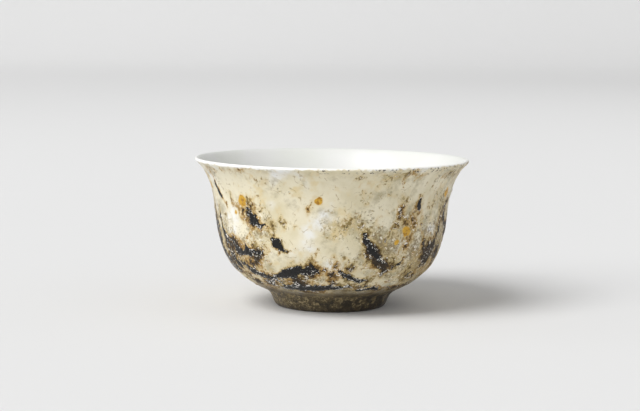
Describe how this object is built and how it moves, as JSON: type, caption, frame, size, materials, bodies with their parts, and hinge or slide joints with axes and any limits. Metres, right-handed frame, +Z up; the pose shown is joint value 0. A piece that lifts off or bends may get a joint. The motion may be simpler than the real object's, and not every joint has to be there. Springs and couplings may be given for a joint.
{
  "type": "lacquered teacup",
  "caption": "Small porcelain teacup with a flared lip, full belly and low foot ring, lacquered outside in cream, brown and black, for drinking tea.",
  "frame": {"origin": "middle of the foot ring's flat underside, where the cup's axis meets the table", "axes": "+Z up along the cup's axis, out of its mouth; -Y towards the side that the picture shows"},
  "size_m": [0.085, 0.085, 0.046],
  "materials": {
    "lacquered_porcelain": "white glazed porcelain inside and over the lip; satin lacquer outside, cream mottled with brown and black, dark over the foot"
  },
  "bodies": {
    "root": {"cup": "lacquered_porcelain"}
  },
  "joints": []
}
